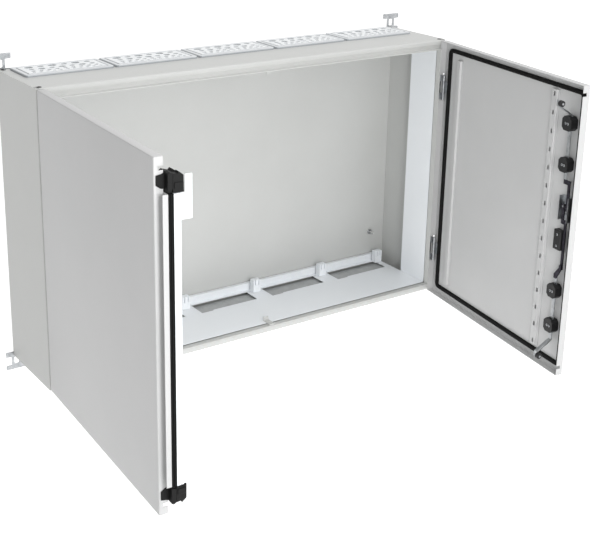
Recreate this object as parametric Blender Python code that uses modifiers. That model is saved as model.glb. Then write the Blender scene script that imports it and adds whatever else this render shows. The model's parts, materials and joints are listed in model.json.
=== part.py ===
# Wall-mounted switchboard cabinet with two doors, five cable-entry plates above and five below.
# X runs along the width, Y into the wall and Z up. The origin is the centre of the back face.
import math
import bpy
import bmesh
from mathutils import Matrix, Vector

# Driving dimensions, in metres.
WIDTH = 1.300
HEIGHT = 0.800
DEPTH = 0.250
SHEET = 0.0015
GAP = 0.0003
FIELD = 0.250
FIELDS = 5

# Doors: shallow trays, measured by u from the hinge edge and n from the outer face inwards.
DOOR_LENGTH = 0.6485
DOOR_HEIGHT = 0.797
DOOR_DEPTH = 0.021
DOOR_FACE = 0.027
DOOR_RADIUS = 0.003
PIN_INSET = 0.0115
PIN_RADIUS = 0.0025
HINGE_Z = 0.258
HINGE_LENGTH = 0.075
LEFT_OPEN = math.radians(93.0)
RIGHT_OPEN = math.radians(81.0)

# Front frame and its forward sealing lip.
LIP_INSET = 0.0285
LIP_Z = 0.3753
LIP_REACH = 0.0165
SEAL_WIDTH = 0.012
SEAL_TOP = 0.010

# Floor of the cable space.
FLOOR_Z = -0.371
FLANGE_LENGTH = 0.2445
FLANGE_BACK = -0.012
FLANGE_FRONT = -0.125
FLANGE_RIM = 0.006

# Fixing lugs at the corners of the back.
LUG_WIDTH = 0.060
LUG_HEIGHT = 0.052
LUG_OVERLAP_X = 0.038
LUG_OVERLAP_Z = 0.010

# Espagnolette lock of the right door.
SPINDLE_U = 0.611
SPINDLE_Z = 0.062
SPINDLE_RADIUS = 0.006
CRANK = 0.0092
ROD_U = 0.600
LEVER_Y = -0.0145
ROD_LOW = 0.010
ROD_THICK = 0.003
ROD_WIDTH = 0.012
UPPER_LINK_TOP = 0.140
ROLLER_N = 0.056
ROLLER_Z = 0.348

HALF_W = WIDTH / 2
HALF_H = HEIGHT / 2
PIN_Y = -DEPTH - DOOR_FACE + PIN_INSET


def clear_scene():
    for obj in list(bpy.data.objects):
        bpy.data.objects.remove(obj, do_unlink=True)


def new_collection(name, wire=False):
    group = bpy.data.collections.new(name)
    bpy.context.scene.collection.children.link(group)
    group.hide_render = wire
    return group


def finish_material(name, colour, roughness, metallic=0.0):
    material = bpy.data.materials.new(name)
    material.use_nodes = True
    shader = material.node_tree.nodes["Principled BSDF"]
    shader.inputs["Base Color"].default_value = (*colour, 1.0)
    shader.inputs["Roughness"].default_value = roughness
    shader.inputs["Metallic"].default_value = metallic
    return material


def add(name, data, parent=None, group=None):
    obj = bpy.data.objects.new(name, data)
    (group or CABINET).objects.link(obj)
    if parent:
        obj.parent = parent
    return obj


def cube(name, low, high, parent=None, group=None, radius=0.0, segments=1):
    """A box between two corners, its edges rounded by a Bevel modifier."""
    low = Vector(low)
    high = Vector(high)
    size = high - low
    bm = bmesh.new()
    bmesh.ops.create_cube(bm, size=1.0)
    bmesh.ops.scale(bm, vec=[abs(value) for value in size], verts=bm.verts)
    mesh = bpy.data.meshes.new(name)
    bm.to_mesh(mesh)
    bm.free()
    obj = add(name, mesh, parent, group)
    obj.location = (low + high) / 2
    if radius:
        bevel = obj.modifiers.new("Bevel", "BEVEL")
        bevel.width = radius
        bevel.segments = segments
    return obj


def rod(name, start, end, radius, parent=None, group=None, sides=16):
    """A round bar between two points, from a cone primitive with equal ends."""
    start = Vector(start)
    end = Vector(end)
    bm = bmesh.new()
    bmesh.ops.create_cone(bm, cap_ends=True, segments=sides, radius1=radius, radius2=radius,
                          depth=(end - start).length)
    mesh = bpy.data.meshes.new(name)
    bm.to_mesh(mesh)
    bm.free()
    mesh.shade_smooth()
    mesh.set_sharp_from_angle(angle=math.radians(40))
    obj = add(name, mesh, parent, group)
    obj.location = (start + end) / 2
    obj.rotation_mode = "QUATERNION"
    obj.rotation_quaternion = (end - start).to_track_quat("Z", "Y")
    return obj


# Local axes of a curve whose outline is drawn in the plane across the named axis.
PLANES = {
    "X": Matrix(((0, 0, 1), (1, 0, 0), (0, 1, 0))),
    "Y": Matrix(((1, 0, 0), (0, 0, -1), (0, 1, 0))),
    "Z": Matrix.Identity(3),
}


def prism(name, outlines, axis, start, end, parent=None, group=None):
    """Flat outlines, the later ones holes, carried straight along an axis from start to end.

    Across X an outline's points are (y, z), across Y they are (x, z) and across Z (x, y).
    """
    curve = bpy.data.curves.new(name, "CURVE")
    curve.dimensions = "2D"
    curve.fill_mode = "BOTH"
    curve.extrude = abs(end - start) / 2
    for outline in outlines:
        spline = curve.splines.new("POLY")
        spline.points.add(len(outline) - 1)
        for point, (a, b) in zip(spline.points, outline):
            point.co = (a, b, 0.0, 1.0)
        spline.use_cyclic_u = True
    obj = add(name, curve, parent, group)
    middle = (start + end) / 2
    obj.location = {"X": (middle, 0, 0), "Y": (0, middle, 0), "Z": (0, 0, middle)}[axis]
    obj.rotation_euler = PLANES[axis].to_euler()
    return obj


def as_mesh(obj):
    """The same piece as a welded mesh, ready to be cut or to cut."""
    bpy.context.view_layer.update()
    graph = bpy.context.evaluated_depsgraph_get()
    mesh = bpy.data.meshes.new_from_object(obj.evaluated_get(graph))
    bm = bmesh.new()
    bm.from_mesh(mesh)
    bmesh.ops.remove_doubles(bm, verts=bm.verts, dist=0.00001)
    bmesh.ops.recalc_face_normals(bm, faces=bm.faces)
    bm.to_mesh(mesh)
    bm.free()
    name = obj.name
    parent = obj.parent
    group = obj.users_collection[0]
    place = obj.matrix_local.copy()
    bpy.data.objects.remove(obj, do_unlink=True)
    solid = add(name, mesh, parent, group)
    solid.matrix_local = place
    return solid


def combine(obj, others, operation):
    """Boolean with several helpers, which stay as hidden wire guides."""
    for other in others:
        other.hide_render = True
        other.display_type = "WIRE"
        step = obj.modifiers.new(operation.title(), "BOOLEAN")
        step.operation = operation
        step.solver = "EXACT"
        step.object = other
    return obj


def paint(material, *objects):
    for obj in objects:
        obj.data.materials.clear()
        obj.data.materials.append(material)


def arc(centre, radius, start, end, steps):
    """Points round a centre, angles in degrees."""
    points = []
    for step in range(steps + 1):
        angle = math.radians(start + (end - start) * step / steps)
        points.append((centre[0] + radius * math.cos(angle), centre[1] + radius * math.sin(angle)))
    return points


def rounded(low, high, radius, steps=4):
    """A rectangle with round corners, anticlockwise."""
    return (arc((high[0] - radius, high[1] - radius), radius, 0, 90, steps)
            + arc((low[0] + radius, high[1] - radius), radius, 90, 180, steps)
            + arc((low[0] + radius, low[1] + radius), radius, 180, 270, steps)
            + arc((high[0] - radius, low[1] + radius), radius, 270, 360, steps))


def folded(path, thickness=SHEET):
    """The closed outline of a bent sheet: the path, and the path moved to its left."""
    inner = []
    last = len(path) - 1
    for index, point in enumerate(path):
        here = Vector(point)
        normals = []
        if index > 0:
            way = (here - Vector(path[index - 1])).normalized()
            normals.append(Vector((-way.y, way.x)))
        if index < last:
            way = (Vector(path[index + 1]) - here).normalized()
            normals.append(Vector((-way.y, way.x)))
        middle = sum(normals, Vector((0, 0))).normalized()
        inner.append(tuple(here + middle * thickness / middle.dot(normals[0])))
    return list(path) + inner[::-1]


def mirrored(points, first=-1, second=1):
    return [(a * first, b * second) for a, b in points]


def field_centres():
    return [FIELD * (index - (FIELDS - 1) / 2) for index in range(FIELDS)]


# ---- Enclosure ----

def back_panel():
    """Back sheet, notched at its corners for the fixing lugs, with its welded earthing stud."""
    x = HALF_W - LUG_OVERLAP_X - GAP
    z = HALF_H - LUG_OVERLAP_Z - GAP
    panel = cube("back_panel", (-HALF_W, -SHEET, -HALF_H), (HALF_W, 0, HALF_H))
    notches = []
    for side in (-1, 1):
        for end in (-1, 1):
            low = (min(side * x, side * WIDTH), -DEPTH / 2, min(end * z, end * HEIGHT))
            high = (max(side * x, side * WIDTH), DEPTH / 2, max(end * z, end * HEIGHT))
            notches.append(cube("lug_notch", low, high, group=GUIDES))
    combine(panel, notches, "DIFFERENCE")
    stud = rod("stud", (0.590, -0.0008, -0.272), (0.590, -0.026, -0.272), 0.003, group=GUIDES, sides=12)
    paint(STEEL_GREY, combine(panel, [stud], "UNION"))


def side_panel(name, sign):
    """Outer wall with a rounded front edge and a short return across the front."""
    bend = DOOR_RADIUS
    front = -DEPTH
    path = [(-HALF_W, -SHEET - GAP)]
    path += arc((-HALF_W + bend, front + bend), bend, 180, 270, 3)
    path += [(-HALF_W + 0.010, front)]
    outline = folded(path)
    if sign > 0:
        outline = mirrored(outline)
    paint(STEEL_GREY, prism(name, [outline], "Z", -HALF_H, HALF_H))


def entry_cutout(centre):
    half = (FLANGE_LENGTH / 2 - 0.014, (FLANGE_BACK - FLANGE_FRONT) / 2 - 0.010)
    middle = (FLANGE_BACK + FLANGE_FRONT) / 2
    return rounded((centre - half[0], middle - half[1]), (centre + half[0], middle + half[1]), 0.006, 2)


def end_panel(name, outer, inner):
    """Top or bottom sheet, with one opening for each cable-entry plate."""
    reach = HALF_W - SHEET - GAP
    rail_back = -DEPTH + 0.020
    outline = [(-reach, rail_back + GAP), (reach, rail_back + GAP), (reach, -SHEET - GAP), (-reach, -SHEET - GAP)]
    holes = [entry_cutout(centre) for centre in field_centres()]
    paint(STEEL_GREY, prism(name, [outline] + holes, "Z", inner, outer))


def rolled_rail(sign):
    """Strip of the top or bottom that turns down, with a round edge, onto the front face."""
    bend = 0.004
    front = -DEPTH
    path = [(front + 0.020, HALF_H)]
    path += arc((front + bend, HALF_H - bend), bend, 90, 180, 3)
    path += [(front, HALF_H - 0.014)]
    outline = folded(path)
    if sign < 0:
        outline = mirrored(outline, 1, -1)
    reach = HALF_W - 0.010 - GAP
    return as_mesh(prism("rail", [outline], "X", -reach, reach, group=GUIDES))


def rod_keepers():
    """Angles welded inside the lip; each rod's roller bears on one when the lock is shut."""
    keepers = []
    for foot, tip in ((LIP_Z - SHEET + 0.0005, 0.3585), (FLOOR_Z + GAP, -0.3585)):
        path = [(-0.2640, foot), (-0.2300, foot), (-0.2300, tip)]
        outline = folded(path, SHEET if foot < 0 else -SHEET)
        keepers.append(as_mesh(prism("keeper", [outline], "X", 0.0240, 0.0415, group=GUIDES)))
    keepers.append(cube("keeper_pad", (0.0245, -0.2635, -LIP_Z + 0.0005), (0.0410, -0.2485, FLOOR_Z + 0.0010),
                        group=GUIDES))
    return keepers


def loop(name, x, z, outer_x, outer_z, start, end, group):
    outer = [(-outer_x, -outer_z), (outer_x, -outer_z), (outer_x, outer_z), (-outer_x, outer_z)]
    inner = [(-x, -z), (x, -z), (x, z), (-x, z)]
    return as_mesh(prism(name, [outer, inner], "Y", start, end, group=group))


def front_frame():
    """Welded front: a face all round, rolled top and bottom rails, and the lip that meets the seals."""
    x = HALF_W - LIP_INSET
    step = 0.0003
    face = loop("front_frame", x - 0.001, LIP_Z - 0.001, HALF_W - 0.010 - GAP, HALF_H - 0.008,
                -DEPTH + step, -DEPTH + SHEET + step, CABINET)
    lip = loop("lip", x - SHEET, LIP_Z - SHEET, x, LIP_Z, -DEPTH - LIP_REACH, -DEPTH + 0.0010, GUIDES)
    combine(face, [lip, rolled_rail(1), rolled_rail(-1)] + rod_keepers(), "UNION")
    paint(STEEL_GREY, face)


def side_lining(name, sign):
    """White inner lining behind the post, with a narrow turned edge at its rear."""
    face = HALF_W - LIP_INSET - SHEET - 0.002
    path = [(-face, -0.2475), (-face, -0.138), (-face - 0.012, -0.138)]
    outline = folded(path)
    if sign > 0:
        outline = mirrored(outline)
    paint(WHITE_PAINT, prism(name, [outline], "Z", FLOOR_Z + GAP, LIP_Z - SHEET - 0.002))


def floor_plate():
    """White floor of the cable space, with a stepped opening in each field."""
    reach = HALF_W - LIP_INSET - SHEET - 0.001
    outline = [(-reach, -0.2475), (reach, -0.2475), (reach, -0.0045), (-reach, -0.0045)]
    half_x = 0.098
    middle = -0.0525
    half_y = 0.0325
    step = 0.0045
    holes = []
    for centre in field_centres():
        holes.append([
            (centre - half_x, middle - half_y - step),
            (centre - half_x + 0.040, middle - half_y - step),
            (centre - half_x + 0.040, middle - half_y),
            (centre + half_x, middle - half_y),
            (centre + half_x, middle + half_y + step),
            (centre + half_x - 0.048, middle + half_y + step),
            (centre + half_x - 0.048, middle + half_y),
            (centre - half_x, middle + half_y),
        ])
    paint(WHITE_PAINT, prism("floor_plate", [outline] + holes, "Z", FLOOR_Z - SHEET, FLOOR_Z))


def entry_flange(name, centre, sign):
    """Plastic cable-entry plate: a rim outside the sheet and a pan through its opening."""
    half = FLANGE_LENGTH / 2
    rim = rounded((centre - half, FLANGE_FRONT), (centre + half, FLANGE_BACK), 0.008, 2)
    pan_half = half - 0.0145
    pan = rounded((centre - pan_half, FLANGE_FRONT + 0.0105), (centre + pan_half, FLANGE_BACK - 0.0105), 0.0055, 2)
    base = HALF_H + GAP
    depth = 0.008 if sign > 0 else 0.020
    body = as_mesh(prism(name, [rim], "Z", sign * base, sign * (base + FLANGE_RIM)))
    plug = as_mesh(prism(name + "_pan", [pan], "Z", sign * (base + 0.001), sign * (HALF_H - depth), group=GUIDES))
    combine(body, [plug], "UNION")
    paint(WHITE_PLASTIC, body)


def rear_rail():
    """White angle along the back of the floor, with slotted clips at the field boundaries."""
    path = [(-0.028, FLOOR_Z + GAP + SHEET), (-0.016, FLOOR_Z + GAP + SHEET), (-0.016, FLOOR_Z + 0.024),
            (-0.004, FLOOR_Z + 0.024)]
    outline = folded(path, -SHEET)
    reach = HALF_W - LIP_INSET - SHEET - 0.004
    rail = as_mesh(prism("rear_rail", [outline], "X", -reach, reach))
    clips = []
    slots = []
    for index in range(FIELDS + 1):
        centre = FIELD * (index - FIELDS / 2)
        centre = max(-0.602, min(0.602, centre))
        clips.append(cube("clip", (centre - 0.013, -0.043, FLOOR_Z + 0.0007),
                          (centre + 0.013, -0.0235, FLOOR_Z + 0.040), group=GUIDES))
        for side in (-1, 1):
            x = centre + side * 0.006
            slots.append(cube("clip_slot", (x - 0.002, -0.045, FLOOR_Z + 0.022),
                              (x + 0.002, -0.036, FLOOR_Z + 0.042), group=GUIDES))
    combine(rail, clips, "UNION")
    combine(rail, slots, "DIFFERENCE")
    paint(WHITE_PAINT, rail)


def wall_lug(name, low_x, low_z):
    """Stamped fixing lug in a notch of the back panel, flush with it: two bars joined by two webs."""
    wide = LUG_WIDTH
    tall = LUG_HEIGHT
    outline = [(0, 0), (wide, 0), (wide, 0.012), (0.044, 0.013), (0.044, 0.037), (wide, 0.038), (wide, tall),
               (0, tall), (0, 0.038), (0.016, 0.037), (0.016, 0.013), (0, 0.012)]
    slot = rounded((0.023, 0.015), (0.037, 0.036), 0.0035, 2)
    shift = [[(low_x + a, low_z + b) for a, b in points] for points in (outline, slot)]
    paint(ZINC, as_mesh(prism(name, shift, "Y", -SHEET, 0)))


# ---- Doors ----

def hinge_axis(name, sign, angle):
    """Empty on a door's hinge line, turned by the angle at which the door stands."""
    axis = bpy.data.objects.new(name, None)
    CABINET.objects.link(axis)
    axis.location = (sign * (HALF_W - PIN_INSET), PIN_Y, 0)
    axis.rotation_euler = (0, 0, sign * angle)
    return axis


class Door:
    """Turns a door's own u, n and z into its hinge empty's frame."""

    def __init__(self, prefix, sign, angle):
        self.prefix = prefix
        self.sign = sign
        self.axis = hinge_axis(prefix + "_hinge_axis", sign, angle)

    def at(self, u, n, z):
        return (-self.sign * (u - PIN_INSET), n - PIN_INSET, z)

    def flat(self, points):
        return [(-self.sign * (u - PIN_INSET), other) for u, other in points]

    def box(self, name, low, high, group=None, radius=0.0, segments=1):
        return cube(name, self.at(*low), self.at(*high), self.axis, group, radius, segments)

    def bar(self, name, start, end, radius, group=None, sides=16):
        return rod(name, self.at(*start), self.at(*end), radius, self.axis, group, sides)

    def upright(self, name, outlines, low, high, group=None):
        """A section in u and n carried along z."""
        shifted = [[(a, b - PIN_INSET) for a, b in self.flat(points)] for points in outlines]
        return prism(name, shifted, "Z", low, high, self.axis, group)

    def sheet(self, name, outlines, low, high, group=None):
        """An outline in u and z carried along n."""
        return prism(name, [self.flat(points) for points in outlines], "Y", low - PIN_INSET, high - PIN_INSET,
                     self.axis, group)

    def side(self, name, outlines, low, high, group=None):
        """An outline in n and z carried along u."""
        shifted = [[(a - PIN_INSET, b) for a, b in points] for points in outlines]
        start = self.at(low, 0, 0)[0]
        end = self.at(high, 0, 0)[0]
        return prism(name, shifted, "X", start, end, self.axis, group)


def door_tray(door, holes=()):
    """Sheet tray: the face with four returns, made as an open box with Solidify."""
    low = Vector(door.at(0, 0, -DOOR_HEIGHT / 2))
    high = Vector(door.at(DOOR_LENGTH, DOOR_DEPTH, DOOR_HEIGHT / 2))
    bm = bmesh.new()
    bmesh.ops.create_cube(bm, size=1.0)
    bmesh.ops.scale(bm, vec=[abs(value) for value in high - low], verts=bm.verts)
    back = [face for face in bm.faces if face.normal.y > 0.9]
    bmesh.ops.delete(bm, geom=back, context="FACES_ONLY")
    edges = [edge for edge in bm.edges if not edge.is_boundary]
    bmesh.ops.bevel(bm, geom=edges, offset=DOOR_RADIUS, segments=3, profile=0.5, affect="EDGES")
    mesh = bpy.data.meshes.new(door.prefix + "_panel")
    bm.to_mesh(mesh)
    bm.free()
    tray = add(door.prefix + "_panel", mesh, door.axis)
    tray.location = (low + high) / 2
    shell = tray.modifiers.new("Solidify", "SOLIDIFY")
    shell.thickness = SHEET
    shell.offset = -1
    windows = []
    for z in (-HINGE_Z, HINGE_Z):
        half = HINGE_LENGTH / 2 + 0.004
        windows.append(door.box("hinge_window", (-0.003, 0.0035, z - half), (0.0025, 0.024, z + half), GUIDES))
    for sign in (-1, 1):
        windows.append(door.box("lip_notch", (DOOR_LENGTH - 0.005, 0.0095, sign * 0.3700),
                                (DOOR_LENGTH + 0.003, 0.024, sign * 0.3790), GUIDES))
    combine(tray, windows + list(holes), "DIFFERENCE")
    paint(DOOR_GREY, tray)


def frame_hinges(door):
    """Fixed half of each hinge: a leaf on the front face, two knuckles and the pin riveted in them."""
    for name, z in (("upper", HINGE_Z), ("lower", -HINGE_Z)):
        half = HINGE_LENGTH / 2
        knuckle = 0.019
        leaf = door.box("leaf", (0.0105, 0.0252, z - half), (0.0255, 0.0267, z + half))
        joined = []
        for low, high in ((z - half, z - half + knuckle), (z + half - knuckle, z + half)):
            joined.append(door.box("arm", (0.009, PIN_INSET, low), (0.014, 0.026, high), GUIDES))
            joined.append(door.bar("knuckle", (PIN_INSET, PIN_INSET, low), (PIN_INSET, PIN_INSET, high),
                                   0.0045, GUIDES))
        joined.append(door.bar("pin", (PIN_INSET, PIN_INSET, z - half - 0.0015),
                               (PIN_INSET, PIN_INSET, z + half + 0.0015), PIN_RADIUS, GUIDES))
        combine(leaf, joined, "UNION")
        bracket = as_mesh(leaf)
        bracket.parent = None
        bracket.location += door.axis.location
        bracket.name = door.prefix + "_" + name + "_bracket"
        paint(ZINC, bracket)


def door_hinges(door):
    """Moving half of each hinge: a knuckle between the fixed ones and a foot on the door."""
    for name, z in (("upper", HINGE_Z), ("lower", -HINGE_Z)):
        half = HINGE_LENGTH / 2 - 0.0195
        foot = door.box(door.prefix + "_" + name + "_hinge", (0.006, SHEET + GAP, z - half), (0.022, 0.0035, z + half))
        arm = door.box("arm", (0.009, 0.003, z - half), (0.014, PIN_INSET, z + half), GUIDES)
        knuckle = door.bar("knuckle", (PIN_INSET, PIN_INSET, z - half), (PIN_INSET, PIN_INSET, z + half),
                           0.0045, GUIDES)
        combine(foot, [arm, knuckle], "UNION")
        bore = door.bar("bore", (PIN_INSET, PIN_INSET, z - half - 0.001), (PIN_INSET, PIN_INSET, z + half + 0.001),
                        PIN_RADIUS + 0.0001, GUIDES)
        combine(foot, [bore], "DIFFERENCE")
        paint(ZINC, foot)


SEAL_HINGE_U = 0.031
SEAL_FREE_U = 0.6335
SEAL_Z = 0.3745


def full_seal(door):
    """Foamed seal all round the inside of the tray, with round corners."""
    half = SEAL_WIDTH / 2
    outer = rounded((SEAL_HINGE_U - half, -SEAL_Z - half), (SEAL_FREE_U + half, SEAL_Z + half), 0.014)
    inner = rounded((SEAL_HINGE_U + half, -SEAL_Z + half), (SEAL_FREE_U - half, SEAL_Z - half), 0.004)
    paint(RUBBER, door.sheet(door.prefix + "_seal", [outer, inner], SHEET + GAP, SEAL_TOP))


def three_sided_seal(door, end):
    """The same seal on three sides, open at the free edge where the closing profile stands."""
    half = SEAL_WIDTH / 2
    top = SEAL_Z
    low = SEAL_HINGE_U
    outline = [(end, top - half), (end, top + half)]
    outline += arc((low - half + 0.014, top + half - 0.014), 0.014, 90, 180, 4)
    outline += arc((low - half + 0.014, -top - half + 0.014), 0.014, 180, 270, 4)
    outline += [(end, -top - half), (end, -top + half)]
    outline += arc((low + half + 0.004, -top + half + 0.004), 0.004, 270, 180, 3)
    outline += arc((low + half + 0.004, top - half - 0.004), 0.004, 180, 90, 3)
    paint(RUBBER, door.sheet(door.prefix + "_seal", [outline], SHEET + GAP, SEAL_TOP))


def stiffener(door):
    """Folded hat section inside the door near its hinges."""
    base = SHEET + GAP
    path = [(0.067, base), (0.073, base), (0.075, 0.008), (0.087, 0.008), (0.089, base), (0.095, base)]
    outline = folded(path, 0.0012)
    paint(DOOR_GREY, door.upright(door.prefix + "_stiffener", [outline], -0.352, 0.352))


# ---- Left door ----

PROFILE_END = 0.3245


def closing_lip(door):
    """Angle on the left door's free return, whose forward edge meets the right door's seal."""
    edge = DOOR_LENGTH
    low = DOOR_DEPTH + GAP
    path = [(edge - 0.030, low + SHEET), (edge + 0.0180, low + SHEET), (edge + 0.0180, SEAL_TOP + 0.0005)]
    outline = folded(path, -SHEET)
    paint(DOOR_GREY, door.upright("closing_lip", [outline], -PROFILE_END, PROFILE_END))


def closing_seal(door):
    """Black rubber strip along the closing profile, with two shallow grooves in its edge."""
    edge = DOOR_LENGTH
    low = DOOR_DEPTH + 2 * GAP + SHEET
    high = low + 0.011
    outer = edge + 0.020
    outline = [(edge - 0.006, low), (outer, low), (outer, low + 0.003), (outer - 0.002, low + 0.004),
               (outer, low + 0.005), (outer, high), (edge - 0.006, high)]
    paint(RUBBER, door.upright("closing_seal", [outline], -PROFILE_END, PROFILE_END))


def closing_profile(door):
    """White box section that stiffens the free edge, with a slotted catch plate near each end."""
    edge = DOOR_LENGTH
    low = DOOR_DEPTH + 3 * GAP + SHEET + 0.011
    high = low + 0.0155
    outer = rounded((edge - 0.026, low), (edge + 0.0195, high), 0.0021, 2)
    inner = rounded((edge - 0.0245, low + SHEET), (edge + 0.018, high - SHEET), 0.0008, 1)
    profile = as_mesh(door.upright("closing_profile", [outer, inner], -PROFILE_END, PROFILE_END))
    path = [(edge - 0.018, high - 0.0008), (edge + 0.0180, high - 0.0008), (edge + 0.0180, high + 0.0255)]
    outline = folded(path)
    plates = []
    slots = []
    for sign in (-1, 1):
        ends = sorted((sign * 0.205, sign * (PROFILE_END - 0.001)))
        plates.append(as_mesh(door.upright("plate", [outline], ends[0], ends[1], GUIDES)))
        for z in (0.232, 0.290):
            slots.append(door.box("catch_slot", (edge + 0.014, high + 0.008, sign * z - 0.003),
                                  (edge + 0.022, high + 0.016, sign * z + 0.003), GUIDES))
    combine(profile, plates, "UNION")
    combine(profile, slots, "DIFFERENCE")
    paint(WHITE_PAINT, profile)


def corner_block(door, name, sign):
    """Rubber block at the end of the closing profile, with a cheek over the free return."""
    edge = DOOR_LENGTH
    end = -FLOOR_Z - 0.002
    start = PROFILE_END + GAP
    core = [(0.0225, start), (0.0560, start), (0.0575, start + 0.004), (0.0575, end - 0.010),
            (0.0480, end), (0.0290, end), (0.0225, end - 0.008)]
    cheek = [(0.0040, 0.3320), (0.0125, start), (0.0240, start), (0.0240, end - 0.006), (0.0145, end - 0.006),
             (0.0040, 0.3560)]
    if sign < 0:
        core = mirrored(core, 1, -1)
        cheek = mirrored(cheek, 1, -1)
    block = as_mesh(door.side(name, [core], edge - 0.026, edge + 0.020))
    cover = as_mesh(door.side("cheek", [cheek], edge + GAP, edge + 0.0026, GUIDES))
    paint(RUBBER, combine(block, [cover], "UNION"))


def left_door():
    door = Door("left_door", -1, LEFT_OPEN)
    door_tray(door)
    three_sided_seal(door, DOOR_LENGTH - 0.006)
    stiffener(door)
    closing_lip(door)
    closing_seal(door)
    closing_profile(door)
    corner_block(door, "upper_corner_block", 1)
    corner_block(door, "lower_corner_block", -1)
    door_hinges(door)
    frame_hinges(door)


# ---- Right door and its lock ----

def lock_channel(door):
    """Shallow perforated rail beside the lock, spot welded to the door."""
    base = SHEET + GAP
    path = [(0.503, base), (0.511, base), (0.512, 0.0055), (0.529, 0.0055), (0.530, base), (0.538, base)]
    outline = folded(path, 0.0012)
    rail = as_mesh(door.upright("lock_rail", [outline], -0.362, 0.362))
    holes = []
    pitch = 0.050
    for index in range(-7, 8):
        z = index * pitch
        holes.append(door.box("rail_hole", (0.517, 0.003, z - 0.006), (0.524, 0.009, z + 0.006), GUIDES))
    combine(rail, holes, "DIFFERENCE")
    paint(DOOR_GREY, rail)


GUIDE_PLACES = (0.290, 0.180, -0.170, -0.270)


def rod_guides(door):
    """Black bridges over the rods; each has eight sides, and a slot wider than the rod."""
    for number, z in enumerate(GUIDE_PLACES, start=1):
        half = 0.019
        cut = 0.008
        outline = [(ROD_U - half, z - half + cut), (ROD_U - half + cut, z - half), (ROD_U + 0.017 - cut, z - half),
                   (ROD_U + 0.017, z - half + cut), (ROD_U + 0.017, z + half - cut),
                   (ROD_U + 0.017 - cut, z + half), (ROD_U - half + cut, z + half),
                   (ROD_U - half, z + half - cut)]
        guide = as_mesh(door.sheet("rod_guide_%d" % number, [outline], SHEET + GAP, 0.024))
        slot = door.box("guide_slot", (ROD_U - ROD_WIDTH / 2 - 0.0006, ROD_LOW - 0.0006, z - 0.025),
                        (ROD_U + ROD_WIDTH / 2 + 0.0006, ROD_LOW + ROD_THICK + 0.0006, z + 0.025), GUIDES)
        paint(BLACK_PLASTIC, combine(guide, [slot], "DIFFERENCE"))


def lock_case(door):
    """Pressed channel that holds the crank, open at both ends for the links."""
    base = SHEET + GAP
    half = 0.0205
    path = [(SPINDLE_U - half, 0.018), (SPINDLE_U - half, base), (0.6265, base), (0.6265, 0.018)]
    outline = folded(path, 0.0012)
    case = as_mesh(door.upright("lock_case", [outline], SPINDLE_Z - 0.034, SPINDLE_Z + 0.034))
    bore = door.bar("case_bore", (SPINDLE_U, 0, SPINDLE_Z), (SPINDLE_U, 0.006, SPINDLE_Z),
                    SPINDLE_RADIUS + 0.0002, GUIDES)
    combine(case, [bore], "DIFFERENCE")
    paint(ZINC, case)


def lock_crank(door):
    """Spindle with a crank disc and its two pins, on the handle's turning axis."""
    u = SPINDLE_U
    z = SPINDLE_Z
    pivot = bpy.data.objects.new("spindle_axis", None)
    CABINET.objects.link(pivot)
    pivot.parent = door.axis
    pivot.location = door.at(u, 0, z)
    disc = rod("lock_crank", (0, 0.0052, 0), (0, 0.0080, 0), 0.0135, pivot, sides=24)
    parts = [rod("crank_hub", (0, -0.0077, 0), (0, 0.0070, 0), SPINDLE_RADIUS, pivot, GUIDES)]
    for sign in (-1, 1):
        x = door.sign * sign * CRANK * math.cos(math.radians(45))
        height = sign * CRANK * math.sin(math.radians(45))
        parts.append(rod("crank_pin", (x, 0.0070, height), (x, 0.0150, height), 0.0025, pivot, GUIDES, 12))
    combine(disc, parts, "UNION")
    paint(ZINC, disc)
    return pivot


def link_parts(side, way):
    """Places on a link: its middle line, its pin's height, and the slot for the pin."""
    reach = CRANK * math.cos(math.radians(45))
    u = SPINDLE_U + side * reach
    pin_z = SPINDLE_Z - way * reach
    ends = sorted((u - side * 0.0032, u + side * 0.0058))
    slot = rounded((ends[0], pin_z - 0.0032), (ends[1], pin_z + 0.0032), 0.003, 3)
    return u, pin_z, slot


LINK_HALF = 0.0046
LINK_HEAD = 0.0062


def upper_link(door):
    """Flat dark link on the free-edge side: slotted head, shank and a foot over the upper rod."""
    u, pin_z, slot = link_parts(1, 1)
    foot = UPPER_LINK_TOP - 0.012
    outline = [(u - LINK_HALF, pin_z - LINK_HEAD), (u + 0.0072, pin_z - LINK_HEAD), (u + 0.0072, pin_z + LINK_HEAD),
               (u + LINK_HALF, pin_z + LINK_HEAD), (u + LINK_HALF, UPPER_LINK_TOP), (ROD_U - 0.004, UPPER_LINK_TOP),
               (ROD_U - 0.004, foot), (u - LINK_HALF, foot)]
    paint(DARK_STEEL, door.sheet("upper_link", [outline, slot], ROD_LOW, ROD_LOW + ROD_THICK))


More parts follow.
